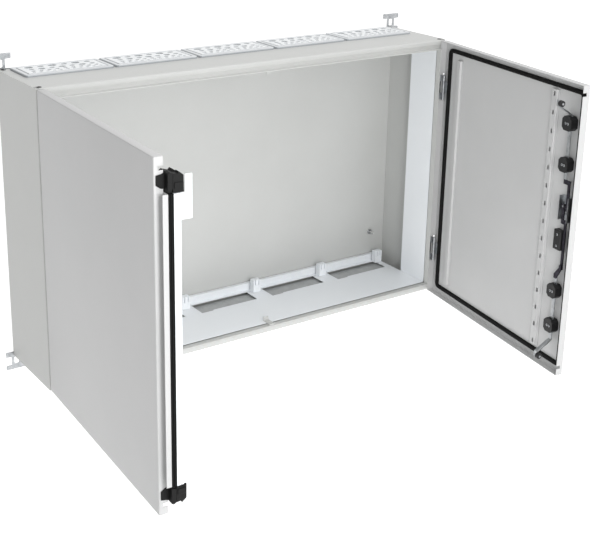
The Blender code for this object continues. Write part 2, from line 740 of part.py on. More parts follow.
def lower_link(door):
    """Flat dark link on the hinge side, stepped past the cover, with a cross piece over the lower rod."""
    u, pin_z, slot = link_parts(-1, -1)
    bar = SPINDLE_U + CRANK * math.cos(math.radians(45))
    outline = [(u + LINK_HALF, pin_z + LINK_HEAD), (u - 0.0072, pin_z + LINK_HEAD), (u - 0.0072, pin_z - LINK_HEAD),
               (u - LINK_HALF, pin_z - LINK_HEAD), (u - LINK_HALF, 0.020), (bar - LINK_HALF, 0.020),
               (bar - LINK_HALF, -0.104), (bar + LINK_HALF, -0.104), (bar + LINK_HALF, 0.032), (u + LINK_HALF, 0.032)]
    link = as_mesh(door.sheet("lower_link", [outline, slot], ROD_LOW, ROD_LOW + ROD_THICK))
    low = ROD_LOW + ROD_THICK + GAP
    outline = [(ROD_U - 0.005, -0.134), (ROD_U + 0.005, -0.134), (bar + LINK_HALF, -0.104),
               (bar + LINK_HALF, -0.092), (bar - LINK_HALF, -0.092), (bar - LINK_HALF, -0.1000),
               (ROD_U - 0.005, -0.1220)]
    cross = as_mesh(door.sheet("cross", [outline], low, low + ROD_THICK, GUIDES))
    rivet = door.bar("rivet", (bar, ROD_LOW + 0.001, -0.098), (bar, low + 0.002, -0.098), 0.003, GUIDES, 12)
    paint(DARK_STEEL, combine(link, [cross, rivet], "UNION"))


def lock_rod(door, name, sign, inner_end):
    """Flat rod that steps away from the door near its end and carries the roller's pin."""
    low = ROD_LOW
    path = [(low, inner_end), (low, 0.313), (ROLLER_N - 0.002, 0.341), (ROLLER_N - 0.002, ROLLER_Z + 0.007)]
    outline = folded(path, -ROD_THICK)
    if sign < 0:
        outline = mirrored(outline, 1, -1)
    half = ROD_WIDTH / 2
    bar = as_mesh(door.side(name, [outline], ROD_U - half, ROD_U + half))
    pin = door.bar("roller_pin", (ROD_U, ROLLER_N, sign * ROLLER_Z), (ROD_U + 0.0195, ROLLER_N, sign * ROLLER_Z),
                   0.003, GUIDES, 12)
    combine(bar, [pin], "UNION")
    paint(ZINC, bar)


def rod_roller(door, name, sign):
    """Grooved black roller, turned about the pin on the rod's end."""
    pivot = bpy.data.objects.new(name + "_axis", None)
    CABINET.objects.link(pivot)
    pivot.parent = door.axis
    start = ROD_U + ROD_WIDTH / 2 + 0.0005
    pivot.location = door.at(start, ROLLER_N, sign * ROLLER_Z)
    profile = [(0.0031, 0.0115), (0.0031, 0.0), (0.0070, 0.0), (0.0080, 0.0010), (0.0080, 0.0045), (0.0066, 0.0052),
               (0.0066, 0.0063), (0.0080, 0.0070), (0.0080, 0.0105), (0.0070, 0.0115)]
    mesh = bpy.data.meshes.new(name)
    bm = bmesh.new()
    points = [bm.verts.new((radius, 0, along)) for radius, along in profile[::-1]]
    for first, second in zip(points, points[1:] + points[:1]):
        bm.edges.new((first, second))
    bm.to_mesh(mesh)
    bm.free()
    roller = add(name, mesh, pivot)
    turn = roller.modifiers.new("Screw", "SCREW")
    turn.axis = "Z"
    turn.steps = 16
    turn.render_steps = 16
    turn.use_merge_vertices = True
    turn.merge_threshold = 0.00001
    roller.rotation_euler = (0, -door.sign * math.radians(90), 0)
    paint(BLACK_PLASTIC, roller)


def inner_cover(door):
    """Black box over the back of the handle's lock."""
    cover = door.box("lock_cover", (0.581, SHEET + GAP, -0.055), (0.6105, 0.018, 0.0005), radius=0.002)
    paint(BLACK_PLASTIC, cover)


def handle_plate(door):
    """Long plate on the outside of the door, round which the handle turns."""
    half = 0.0165
    outline = (arc((SPINDLE_U, SPINDLE_Z), half, 0, 180, 8) + arc((SPINDLE_U, -0.060), half, 180, 360, 8))
    bore = arc((SPINDLE_U, SPINDLE_Z), SPINDLE_RADIUS + 0.0002, 0, 337.5, 15)
    paint(BLACK_PLASTIC, door.sheet("handle_plate", [outline, bore], -0.004, -GAP))


def outer_handle(door, pivot):
    """Turning fork on the spindle, and the lever hinged to it, which lies level at rest."""
    side = door.sign
    fork = cube("handle_fork", (-0.013, -0.0175, -0.011), (0.013, -0.0045, 0.011), pivot, radius=0.0015)
    seat = rod("fork_bore", (0, -0.0080, 0), (0, -0.003, 0), SPINDLE_RADIUS + 0.0003, pivot, GUIDES)
    mouth = cube("fork_mouth", (side * 0.0032, -0.020, -0.0075), (side * 0.020, -0.0092, 0.0075), pivot, GUIDES)
    cross = rod("fork_pin", (side * 0.0085, LEVER_Y, -0.0090), (side * 0.0085, LEVER_Y, 0.0090), 0.0018,
                pivot, GUIDES, 12)
    combine(fork, [seat, mouth], "DIFFERENCE")
    combine(fork, [cross], "UNION")
    paint(BLACK_PLASTIC, fork)
    hinge = bpy.data.objects.new("lever_axis", None)
    CABINET.objects.link(hinge)
    hinge.parent = pivot
    hinge.location = (side * 0.0085, LEVER_Y, 0)
    start = -0.0030
    outline = [(side * start, -0.0072), (side * 0.010, -0.0072), (side * 0.022, -0.0100), (side * 0.105, -0.0085)]
    outline += [(side * 0.105 + side * a, b) for a, b in arc((0, 0), 0.0085, -60, 60, 4)]
    outline += [(side * 0.105, 0.0085), (side * 0.022, 0.0100), (side * 0.010, 0.0072), (side * start, 0.0072)]
    lever = as_mesh(prism("handle_lever", [outline], "Y", -0.0040, 0.0035, hinge))
    bore = rod("lever_bore", (0, 0, -0.012), (0, 0, 0.012), 0.0019, hinge, GUIDES, 12)
    combine(lever, [bore], "DIFFERENCE")
    paint(BLACK_PLASTIC, lever)


def right_door():
    door = Door("right_door", 1, RIGHT_OPEN)
    spindle = door.bar("spindle_hole", (SPINDLE_U, -0.004, SPINDLE_Z), (SPINDLE_U, 0.004, SPINDLE_Z),
                       SPINDLE_RADIUS + 0.0002, GUIDES)
    door_tray(door, [spindle])
    full_seal(door)
    stiffener(door)
    lock_channel(door)
    rod_guides(door)
    lock_case(door)
    pivot = lock_crank(door)
    upper_link(door)
    lower_link(door)
    lock_rod(door, "upper_rod", 1, UPPER_LINK_TOP + GAP)
    lock_rod(door, "lower_rod", -1, 0.120)
    rod_roller(door, "upper_roller", 1)
    rod_roller(door, "lower_roller", -1)
    inner_cover(door)
    handle_plate(door)
    outer_handle(door, pivot)
    door_hinges(door)
    frame_hinges(door)


clear_scene()
CABINET = new_collection("switchboard_cabinet")
GUIDES = new_collection("cutters", wire=True)

STEEL_GREY = finish_material("light_grey_powder_coat", (0.56, 0.56, 0.55), 0.45)
DOOR_GREY = finish_material("door_powder_coat", (0.56, 0.56, 0.55), 0.42)
WHITE_PAINT = finish_material("white_powder_coat", (0.82, 0.85, 0.88), 0.40)
WHITE_PLASTIC = finish_material("white_plastic", (0.88, 0.88, 0.88), 0.45)
ZINC = finish_material("zinc_plated_steel", (0.60, 0.60, 0.60), 0.35, 1.0)
DARK_STEEL = finish_material("phosphated_steel", (0.06, 0.055, 0.07), 0.45, 0.6)
BLACK_PLASTIC = finish_material("black_nylon", (0.012, 0.012, 0.012), 0.45)
RUBBER = finish_material("black_rubber", (0.010, 0.010, 0.010), 0.75)

back_panel()
side_panel("left_side_panel", -1)
side_panel("right_side_panel", 1)
end_panel("top_panel", HALF_H, HALF_H - SHEET)
end_panel("bottom_panel", -HALF_H + SHEET, -HALF_H)
front_frame()
side_lining("left_lining", -1)
side_lining("right_lining", 1)
floor_plate()
for number, middle_x in enumerate(field_centres(), start=1):
    entry_flange("top_flange_%d" % number, middle_x, 1)
    entry_flange("bottom_flange_%d" % number, middle_x, -1)
rear_rail()
LUG_LEFT = -HALF_W - LUG_WIDTH + LUG_OVERLAP_X
LUG_TOP = HALF_H - LUG_OVERLAP_Z
wall_lug("upper_left_lug", LUG_LEFT, LUG_TOP)
wall_lug("upper_right_lug", HALF_W - LUG_OVERLAP_X, LUG_TOP)
wall_lug("lower_left_lug", LUG_LEFT, -LUG_TOP - LUG_HEIGHT)
wall_lug("lower_right_lug", HALF_W - LUG_OVERLAP_X, -LUG_TOP - LUG_HEIGHT)
left_door()
right_door()
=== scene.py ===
# Switchboard cabinet with open doors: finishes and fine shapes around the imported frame.
import json
import math

import bmesh
import bpy
import numpy as np
from mathutils import Matrix, Vector

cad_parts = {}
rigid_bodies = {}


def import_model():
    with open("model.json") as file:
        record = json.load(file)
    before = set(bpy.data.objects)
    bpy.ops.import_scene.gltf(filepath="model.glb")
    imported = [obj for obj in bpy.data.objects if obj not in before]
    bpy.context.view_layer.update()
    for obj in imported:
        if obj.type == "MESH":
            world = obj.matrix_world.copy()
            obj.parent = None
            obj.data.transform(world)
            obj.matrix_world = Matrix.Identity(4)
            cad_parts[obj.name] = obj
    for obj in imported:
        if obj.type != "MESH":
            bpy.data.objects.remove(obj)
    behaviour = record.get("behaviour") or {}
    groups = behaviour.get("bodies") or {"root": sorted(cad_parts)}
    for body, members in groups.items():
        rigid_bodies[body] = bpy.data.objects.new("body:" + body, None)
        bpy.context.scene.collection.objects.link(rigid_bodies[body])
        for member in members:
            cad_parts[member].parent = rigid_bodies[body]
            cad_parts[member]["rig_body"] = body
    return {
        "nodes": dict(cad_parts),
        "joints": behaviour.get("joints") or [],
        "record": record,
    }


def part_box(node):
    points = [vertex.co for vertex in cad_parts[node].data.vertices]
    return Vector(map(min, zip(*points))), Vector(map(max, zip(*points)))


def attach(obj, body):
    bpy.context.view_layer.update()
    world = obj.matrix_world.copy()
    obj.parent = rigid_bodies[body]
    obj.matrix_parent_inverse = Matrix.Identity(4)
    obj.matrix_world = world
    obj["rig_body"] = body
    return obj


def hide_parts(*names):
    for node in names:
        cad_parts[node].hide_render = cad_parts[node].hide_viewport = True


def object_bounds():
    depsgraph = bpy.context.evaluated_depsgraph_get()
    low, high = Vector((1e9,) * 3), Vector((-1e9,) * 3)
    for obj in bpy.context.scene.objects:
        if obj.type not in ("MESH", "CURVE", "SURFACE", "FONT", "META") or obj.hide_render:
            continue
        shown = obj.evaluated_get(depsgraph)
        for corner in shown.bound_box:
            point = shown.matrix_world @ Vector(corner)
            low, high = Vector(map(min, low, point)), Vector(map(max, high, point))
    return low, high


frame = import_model()
cadBounds = [list(corner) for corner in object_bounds()]
nodes = frame["nodes"]
joints = {joint["name"]: joint for joint in frame["joints"]}
print("frame:", len(nodes), "nodes")

mm = 0.001

# Doors: side of the cabinet, the angle at which each stands open, and the frame's body and joint.
doors = {
    "left": {"side": -1, "open": 93.0, "body": "left_door", "hinge": "left_door_hinge"},
    "right": {"side": 1, "open": 81.0, "body": "right_door", "hinge": "right_door_hinge"},
}
pinInset = 11.5 * mm  # from the hinge edge, and from the outer face
doorLength = 648.5 * mm  # from the hinge edge to the free edge


def linear(code):
    # sRGB hex to the linear values a shader wants
    parts = [int(code[i:i + 2], 16) / 255 for i in (1, 3, 5)]
    return tuple(p / 12.92 if p <= 0.04045 else ((p + 0.055) / 1.055) ** 2.4 for p in parts)


def addNode(tree, kind, links=(), **settings):
    # one node with its settings and links; a name that is no property is the value of an input
    made = tree.nodes.new(kind)
    for key, value in settings.items():
        if hasattr(made, key):
            setattr(made, key, value)
        else:
            made.inputs[key.replace("_", " ")].default_value = value
    for socket, source in links:
        tree.links.new(source, made.inputs[socket])
    return made


def startMaterial(name, roughness, metallic, ior=None):
    made = bpy.data.materials.new(name)
    made.use_nodes = True
    tree = made.node_tree
    shader = tree.nodes["Principled BSDF"]
    shader.inputs["Roughness"].default_value = roughness
    shader.inputs["Metallic"].default_value = metallic
    if ior:
        shader.inputs["IOR"].default_value = ior
    place = addNode(tree, "ShaderNodeTexCoord")
    return made, tree, shader, place.outputs["Object"]


def dress(tree, shader, finish, tones, tone, height, sheen=None):
    # one pattern takes the colour from the first tone to the second, one moves the roughness and one
    # raises the surface
    ramp = addNode(tree, "ShaderNodeValToRGB", [("Fac", tone)])
    for element, position, code in zip(ramp.color_ramp.elements, finish["spread"], tones):
        element.position = position
        element.color = (*linear(code), 1)
    tree.links.new(ramp.outputs["Color"], shader.inputs["Base Color"])
    if sheen:
        middle = shader.inputs["Roughness"].default_value
        low, high = finish["sheen"]
        gloss = addNode(tree, "ShaderNodeMapRange", [("Value", sheen)], To_Min=middle + low,
                        To_Max=middle + high)
        tree.links.new(gloss.outputs["Result"], shader.inputs["Roughness"])
    strength, distance = finish["bump"]
    bump = addNode(tree, "ShaderNodeBump", [("Height", height)], Strength=strength, Distance=distance)
    tree.links.new(bump.outputs["Normal"], shader.inputs["Normal"])
    return ramp.outputs["Color"]


paint = {"ior": 1.5, "cloudScale": 4.0, "fleck": 1.2 * mm, "peel": 3 * mm, "spread": (0.30, 0.62),
         "sheen": (-0.05, 0.06), "bump": (0.05, 0.6 * mm)}


def powderCoat(name, first, second, roughness):
    # Polyester powder baked on steel: a soft, even sheen over fine orange peel. The real peel is about
    # 1 mm across; it is drawn at 3 mm so that it shows. Faint broad clouds come from uneven film.
    made, tree, shader, place = startMaterial(name, roughness, 0.0, paint["ior"])
    cloud = addNode(tree, "ShaderNodeTexNoise", [("Vector", place)], Scale=paint["cloudScale"], Detail=3.0,
                    Roughness=0.55)
    fleck = addNode(tree, "ShaderNodeTexNoise", [("Vector", place)], Scale=1 / paint["fleck"], Detail=1.0)
    both = addNode(tree, "ShaderNodeMath", [(0, cloud.outputs["Fac"]), (1, fleck.outputs["Fac"])],
                   operation="ADD")
    half = addNode(tree, "ShaderNodeMath", [(0, both.outputs[0])], operation="MULTIPLY")
    half.inputs[1].default_value = 0.5
    skin = addNode(tree, "ShaderNodeTexNoise", [("Vector", place)], Scale=1 / paint["peel"], Detail=2.0)
    dress(tree, shader, paint, (first, second), half.outputs[0], skin.outputs["Fac"], cloud.outputs["Fac"])
    return made


# the last tone is the grey painted into the bottoms of grooves as shade
moulding = {"ior": 1.53, "grain": 1.6 * mm, "cloudScale": 35.0, "spread": (0.35, 0.65),
            "sheen": (-0.06, 0.08), "bump": (0.12, 0.3 * mm), "dust": "#8f9499"}


def mouldedPlastic(name, first, second, roughness):
    # Polyamide or ABS from a spark-eroded mould: matt, with a fine pebble grain.
    made, tree, shader, place = startMaterial(name, roughness, 0.0, moulding["ior"])
    cells = addNode(tree, "ShaderNodeTexVoronoi", [("Vector", place)], Scale=1 / moulding["grain"])
    cloud = addNode(tree, "ShaderNodeTexNoise", [("Vector", place)], Scale=moulding["cloudScale"], Detail=3.0)
    unshaded = dress(tree, shader, moulding, (first, second), cloud.outputs["Fac"], cells.outputs["Distance"],
                  cells.outputs["Distance"])
    # the recess attribute, nought where a piece has none, greys the bottoms of grooves: painted shade where
    # the grooves lie in shadow
    recess = addNode(tree, "ShaderNodeAttribute", attribute_name="recess")
    factor, unshadedColour, shadeColour, mixedColour = 0, 6, 7, 2  # the Mix node's sockets for colours
    grooveShading = addNode(tree, "ShaderNodeMix", data_type="RGBA")
    grooveShading.inputs[shadeColour].default_value = (*linear(moulding["dust"]), 1)
    tree.links.new(recess.outputs["Fac"], grooveShading.inputs[factor])
    tree.links.new(unshaded, grooveShading.inputs[unshadedColour])
    tree.links.new(grooveShading.outputs[mixedColour], shader.inputs["Base Color"])
    return made


plating = {"streaks": (400.0, 400.0, 25.0), "cloudScale": 90.0, "spread": (0.30, 0.70),
           "sheen": (-0.10, 0.14), "bump": (0.08, 0.2 * mm)}


def platedSteel(name, first, second, roughness):
    # Sheet steel under zinc or phosphate: rolling streaks and a cloudy, slightly uneven sheen.
    made, tree, shader, place = startMaterial(name, roughness, 1.0)
    stretch = addNode(tree, "ShaderNodeMapping", [("Vector", place)], Scale=plating["streaks"])
    lines = addNode(tree, "ShaderNodeTexNoise", [("Vector", stretch.outputs["Vector"])], Scale=1.0,
                    Detail=4.0)
    cloud = addNode(tree, "ShaderNodeTexNoise", [("Vector", place)], Scale=plating["cloudScale"], Detail=4.0)
    dress(tree, shader, plating, (first, second), cloud.outputs["Fac"], lines.outputs["Fac"],
          lines.outputs["Fac"])
    return made


foam = {"ior": 1.5, "gloss": 0.3, "pore": 1.5 * mm, "spread": (0.38, 0.75), "bump": (0.22, 0.4 * mm)}


def blackRubber(name, first, second, roughness):
    # Foamed polyurethane and EPDM: dull, with open pores and a dusty bloom.
    made, tree, shader, place = startMaterial(name, roughness, 0.0, foam["ior"])
    shader.inputs["Specular IOR Level"].default_value = foam["gloss"]
    pores = addNode(tree, "ShaderNodeTexNoise", [("Vector", place)], Scale=1 / foam["pore"], Detail=4.0,
                    Roughness=0.7)
    dress(tree, shader, foam, (first, second), pores.outputs["Fac"], pores.outputs["Fac"])
    return made


bodyPaint = powderCoat("lightGreyPowderCoat", "#c2c3c1", "#c9cac8", 0.42)
doorPaint = powderCoat("doorPowderCoat", "#c1c2c2", "#c9c9c9", 0.40)
whitePaint = powderCoat("whitePowderCoat", "#eff3f7", "#f5f8fb", 0.36)
flangePlastic = mouldedPlastic("whiteAbsMoulding", "#eef1f3", "#f6f8f9", 0.46)
# the pan's plastic is the white plastic drawn grey: painted shade seen through the openings
panShadePlastic = mouldedPlastic("greyAbsMoulding", "#adafb0", "#b9bbbb", 0.50)
blackNylon = mouldedPlastic("blackNylonMoulding", "#0f0f10", "#060607", 0.50)
zincPlate = platedSteel("brightZincPlate", "#9fa2a5", "#c2c4c6", 0.34)
darkSteel = platedSteel("phosphatedSteel", "#2f2d33", "#4a4750", 0.42)
sealRubber = blackRubber("foamedSeal", "#030303", "#0c0c0c", 0.85)
blockRubber = blackRubber("mouldedRubber", "#040404", "#101010", 0.62)
finishes = {
    "light_grey_powder_coat": bodyPaint, "door_powder_coat": doorPaint, "white_powder_coat": whitePaint,
    "white_plastic": flangePlastic, "zinc_plated_steel": zincPlate, "phosphated_steel": darkSteel,
    "black_nylon": blackNylon, "black_rubber": sealRubber,
}
slotOf = {part["node"]: part["material_slot"] for part in frame["record"]["subparts"]}
for name, node in nodes.items():
    for slot in node.material_slots:
        slot.material = finishes[slotOf[name]]
print("materials:", len(finishes))


def asPiece(name, body, material, slot, points, faces, replaces=(), bevel=0.0, segments=2, smooth=40.0):
    # closed shapes as one piece, standing where they are in the cabinet
    mesh = bpy.data.meshes.new(name)
    corners = [tuple(map(float, point)) for point in points]
    mesh.from_pydata(corners, [], [list(map(int, face)) for face in faces])
    return fromMesh(name, mesh, body, material, replaces, bevel, segments, smooth)


def fromMesh(name, mesh, body, material, replaces, bevel, segments, smooth):
    # a mesh as a piece: normals outward, shaded smooth up to an angle, edges rounded by a Bevel
    work = bmesh.new()
    work.from_mesh(mesh)
    bmesh.ops.recalc_face_normals(work, faces=work.faces)
    work.to_mesh(mesh)
    work.free()
    mesh.materials.clear()
    mesh.materials.append(material)
    mesh.shade_smooth()
    mesh.set_sharp_from_angle(angle=math.radians(smooth))
    piece = bpy.data.objects.new(name, mesh)
    bpy.context.scene.collection.objects.link(piece)
    if bevel:
        rounding = piece.modifiers.new("Bevel", "BEVEL")
        rounding.width = bevel
        rounding.segments = segments
        rounding.limit_method = "ANGLE"
        rounding.angle_limit = math.radians(30)
        rounding.harden_normals = True
    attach(piece, body)
    if replaces:
        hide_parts(*replaces)
    return piece


def softened(nodeName, name, bevel, material=None):
    # the frame's own solid with its flat faces made whole and its edges rounded
    source = nodes[nodeName]
    work = bmesh.new()
    work.from_mesh(source.data)
    bmesh.ops.remove_doubles(work, verts=work.verts, dist=0.01 * mm)
    bmesh.ops.dissolve_limit(work, angle_limit=math.radians(1.0), verts=work.verts, edges=work.edges)
    mesh = bpy.data.meshes.new(name)
    work.to_mesh(mesh)
    work.free()
    slot = slotOf[nodeName]
    fromMesh(name, mesh, source["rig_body"], material or finishes[slot], [nodeName], bevel, 2, 40.0)


def doorPlace(door, u, n, z):
    # u from the hinge edge, n in from the outer face, z up: the point is turned about the pin, by
    # x*cos - y*sin and x*sin + y*cos, to where the door stands open
    made = doors[door]
    pin = joints[made["hinge"]]["pos_m"]
    x = -made["side"] * (np.asarray(u, float) - pinInset)
    y = np.asarray(n, float) - pinInset
    turn = made["side"] * math.radians(made["open"])
    z = np.broadcast_to(np.asarray(z, float), np.broadcast(x, y).shape)
    return np.stack([pin[0] + x * math.cos(turn) - y * math.sin(turn),
                     pin[1] + x * math.sin(turn) + y * math.cos(turn), z + 0 * x], axis=-1)


def unmoved(a, b, along):
    # a place function for carried that takes a, b and along as x, y and z
    return np.stack([a, b, along], axis=-1)


def gridFaces(rows, columns, wrapRows=False, wrapColumns=False):
    # quads between neighbouring rows and columns of a grid, where point (r, c) is number r*columns + c
    r = np.arange(rows if wrapRows else rows - 1)
    c = np.arange(columns if wrapColumns else columns - 1)
    r, c = np.meshgrid(r, c, indexing="ij")
    nextRow = (r + 1) % rows
    nextColumn = (c + 1) % columns
    quads = np.stack([r * columns + c, nextRow * columns + c, nextRow * columns + nextColumn,
                      r * columns + nextColumn], axis=-1)
    return quads.reshape(-1, 4).tolist()


def turnedRing(profile, sides):
    # a profile of (radius, along) turned about the axis: radius*cos, radius*sin, along
    profile = np.asarray(profile, float)
    angle = np.linspace(0, 2 * math.pi, sides, endpoint=False)
    radius, along = profile[:, 0][:, None], profile[:, 1][:, None]
    points = np.stack([radius * np.cos(angle), radius * np.sin(angle), along + 0 * angle], axis=-1)
    faces = gridFaces(len(profile), sides, False, True)
    faces.append(list(range(sides)))
    faces.append([(len(profile) - 1) * sides + i for i in range(sides)])
    return points.reshape(-1, 3), faces


def aimed(points, centre, axis, twist=0.0):
    # local z turned onto the axis, then moved to the centre
    turn = Vector(axis).to_track_quat("Z", "Y").to_matrix() @ Matrix.Rotation(twist, 3, "Z")
    return np.asarray(points) @ np.array(turn).T + np.asarray(centre, float)


def gathered(shapes):
    # several closed shapes as one list of points and one of faces
    points, faces, start = [], [], 0
    for shapePoints, shapeFaces in shapes:
        points.append(np.asarray(shapePoints, float).reshape(-1, 3))
        faces += [[index + start for index in face] for face in shapeFaces]
        start += len(points[-1])
    return np.concatenate(points), faces


def carried(outline, low, high, place):
    # a closed outline of (a, b) carried from low to high; place(a, b, along) gives the points
    outline = np.asarray(outline, float)
    along = np.array([[low], [high]])
    points = place(outline[:, 0][None, :] + 0 * along, outline[:, 1][None, :] + 0 * along,
                   along + 0 * outline[:, 0][None, :])
    count = len(outline)
    faces = gridFaces(2, count, False, True)
    faces += [list(range(count)), [count + i for i in range(count)]]
    return points.reshape(-1, 3), faces


# Cable-entry plates. The heights over the base, and the knock-out rows, are in millimetres.
flange = {
    "length": 244.5 * mm, "front": -125 * mm, "back": -12 * mm, "base": 400.3 * mm, "corner": 8 * mm,
    "step": 1.15 * mm, "skirt": 0.1 * mm, "rim": 5.4, "rimRound": 2.0, "plateau": 5.9,
    "groove": 13.5, "grooveWidth": 1.3, "grooveDepth": 2.9, "riseBehind": 1.2, "edgeSoftness": 0.35,
    "lipOut": 1.1, "lipWidth": 0.7, "lipHeight": 0.5, "bossFrom": 6, "bossWidth": 0.35, "bossHeight": 0.7,
    # painted shade in the grooves: the depth over which it grows to full, and the share of that depth before
    # it begins
    "soilDepth": 2.2 * mm, "soilStart": 0.15,
    # count, margin at each end, distance from the front edge, radii in turn, depth
    "rows": [(11, 31, 23.5, (4.4,), 3.0), (9, 35, 38.5, (5.6,), 3.0), (7, 38, 59, (7.0, 9.0), 2.6),
             (6, 41, 85, (11.0, 8.0), 2.6)],
}
# The pan inside each plate, seen from within the cabinet: the plates' white plastic drawn grey, as painted
# shade for the depth behind the openings.
pan = {
    "inset": 14.8 * mm, "wider": 4 * mm, "corner": 5 * mm, "step": 1.9 * mm, "clearance": 0.6 * mm,
    "topReach": 399.9 * mm, "bottomReach": 399.0 * mm, "ringHeight": 1.1, "ringWidth": 0.8,
}


def knockouts(length, width):
    # places, radii and depths in mm of the membranes: small ones along the front, larger ones behind
    places = []
    for count, margin, fromFront, radii, depth in flange["rows"]:
        for index in range(count):
            along = -length / 2 + margin + index * (length - 2 * margin) / (count - 1)
            places.append((along, -width / 2 + fromFront, radii[index % len(radii)], depth))
    return places


def plateHeight(x, y, length, width, corner, places):
    # Height in mm over a plate. The rim rises as a quarter circle of the distance inside the edge, a
    # Gaussian groove is taken away, and a logistic step leads up to the plateau. Each membrane is a
    # logistic dish inside its radius, with a Gaussian lip around it and, on large ones, a Gaussian boss
    # in the middle, whose width and height are shares of the radius and the depth.
    ax = np.abs(x) - (length / 2 - corner)
    ay = np.abs(y) - (width / 2 - corner)
    inside = corner - (np.hypot(np.maximum(ax, 0), np.maximum(ay, 0)) + np.minimum(np.maximum(ax, ay), 0))
    edge = np.clip(inside / flange["rimRound"], 0, 1)
    height = flange["rim"] * np.sqrt(1 - (1 - edge) ** 2)
    soft = flange["edgeSoftness"]
    groove = np.exp(-((inside - flange["groove"]) / flange["grooveWidth"]) ** 2)
    rise = 1 / (1 + np.exp(-(inside - flange["groove"] - flange["riseBehind"]) / soft))
    height = height + (flange["plateau"] - flange["rim"]) * rise - flange["grooveDepth"] * groove
    for cx, cy, radius, depth in places:
        distance = np.hypot(x - cx, y - cy)
        dish = 1 / (1 + np.exp((distance - radius) / soft))
        lip = np.exp(-((distance - radius - flange["lipOut"]) / flange["lipWidth"]) ** 2)
        boss = np.exp(-(distance / (flange["bossWidth"] * radius)) ** 2) * (radius > flange["bossFrom"])
        height = height - depth * dish + flange["lipHeight"] * lip + flange["bossHeight"] * depth * boss
    return height


def plateShell(length, width, corner, base, sign, heights, step, centre, middleY):
    # A grid over a rectangle, where points beyond a corner's circle are pulled in to its radius, raised
    # by the heights and closed by a skirt and a flat underside. The second result is how deep each
    # point lies, from nought to one, which the plastic turns into painted shade in the grooves.
    columns = int(round(length / step)) + 1
    rows = int(round(width / step)) + 1
    x, y = np.meshgrid(np.linspace(-length / 2, length / 2, columns),
                       np.linspace(-width / 2, width / 2, rows))
    ax = np.abs(x) - (length / 2 - corner)
    ay = np.abs(y) - (width / 2 - corner)
    out = (ax > 0) & (ay > 0)
    far = np.hypot(ax, ay)
    pull = np.where(out & (far > corner), corner / np.maximum(far, 1e-9), 1.0)
    x = np.where(out, np.sign(x) * (length / 2 - corner + ax * pull), x)
    y = np.where(out, np.sign(y) * (width / 2 - corner + ay * pull), y)
    height = heights(x / mm, y / mm) * mm
    recess = np.clip((height.max() - height) / flange["soilDepth"] - flange["soilStart"], 0, 1)
    top = np.stack([centre + x, middleY + y, sign * (base + height)], axis=-1).reshape(-1, 3)
    number = np.arange(rows * columns).reshape(rows, columns)
    ring = np.concatenate([number[0], number[1:, -1], number[-1, -2::-1], number[-2:0:-1, 0]])
    foot = top[ring].copy()
    foot[:, 2] = sign * (base - flange["skirt"])
    count = len(top)
    under = count + np.arange(len(ring))
    skirt = np.stack([ring, np.roll(ring, -1), np.roll(under, -1), under], axis=-1)
    faces = gridFaces(rows, columns) + skirt.tolist() + [under.tolist()]
    return (np.concatenate([top, foot]), faces), np.concatenate([recess.ravel(), np.zeros(len(ring))])


def paintGrooveShade(piece, recess):
    # the depth of each point in a groove, kept as the attribute from which the plastic's colour takes its
    # painted shade
    layer = piece.data.attributes.new("recess", "FLOAT", "POINT")
    layer.data.foreach_set("value", recess.astype(np.float32))


def entryPlate(name, node, sign):
    # the plate outside, and the pan behind it with a raised ring at each membrane
    low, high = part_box(node)
    centre = (low[0] + high[0]) / 2
    middleY = (flange["front"] + flange["back"]) / 2
    plateWidth = flange["back"] - flange["front"]
    length = flange["length"] / mm
    width = plateWidth / mm
    places = knockouts(length, width)

    def outerHeight(x, y):
        return plateHeight(x, y, length, width, flange["corner"] / mm, places)

    def panHeight(x, y):
        # the depth, less a Gaussian ring at each membrane's radius
        rings = np.zeros_like(x)
        for cx, cy, radius, _ in places:
            distance = np.hypot(x - cx, y - cy)
            rings = rings - pan["ringHeight"] * np.exp(-((distance - radius) / pan["ringWidth"]) ** 2)
        return -depth - rings

    outer, outerRecess = plateShell(flange["length"], plateWidth, flange["corner"], flange["base"], sign,
                                    outerHeight, flange["step"], centre, middleY)
    panLength = flange["length"] - 2 * pan["inset"]
    panWidth = plateWidth - 2 * (pan["inset"] - pan["wider"])
    reach = pan["topReach"] if sign > 0 else pan["bottomReach"]
    depth = (flange["base"] - abs(high[2] if sign < 0 else low[2]) - pan["clearance"]) / mm
    inner, _ = plateShell(panLength, panWidth, pan["corner"], reach, sign, panHeight, pan["step"], centre,
                          middleY)
    paintGrooveShade(asPiece(name, "enclosure", flangePlastic, "white_plastic", *outer, [node], smooth=60), outerRecess)
    asPiece(name + "Pan", "enclosure", panShadePlastic, "white_plastic", *inner, smooth=60)


for index in range(1, 6):
    entryPlate("topEntryPlate%d" % index, "top_flange_%d" % index, 1)
    entryPlate("bottomEntryPlate%d" % index, "bottom_flange_%d" % index, -1)
print("entry plates done")


# Door seals: one all round the right door, one on three sides of the left.
seal = {"width": 12 * mm, "base": 1.8 * mm, "top": 10 * mm, "hingeU": 31 * mm, "freeU": 633.5 * mm,
        "z": 374.5 * mm, "corner": 10 * mm, "openEnd": 6 * mm, "squareness": 0.62,
        "sectionPoints": 14, "turnPoints": 8}


def sealSection():
    # a foamed bead: a flat foot, and a crown on a superellipse, a power of cos across and of sin up
    angle = np.linspace(0, math.pi, seal["sectionPoints"])
    across = seal["width"] / 2 * np.sign(np.cos(angle)) * np.abs(np.cos(angle)) ** seal["squareness"]
    up = (seal["top"] - seal["base"]) * np.abs(np.sin(angle)) ** seal["squareness"]
    return across, seal["base"] + up


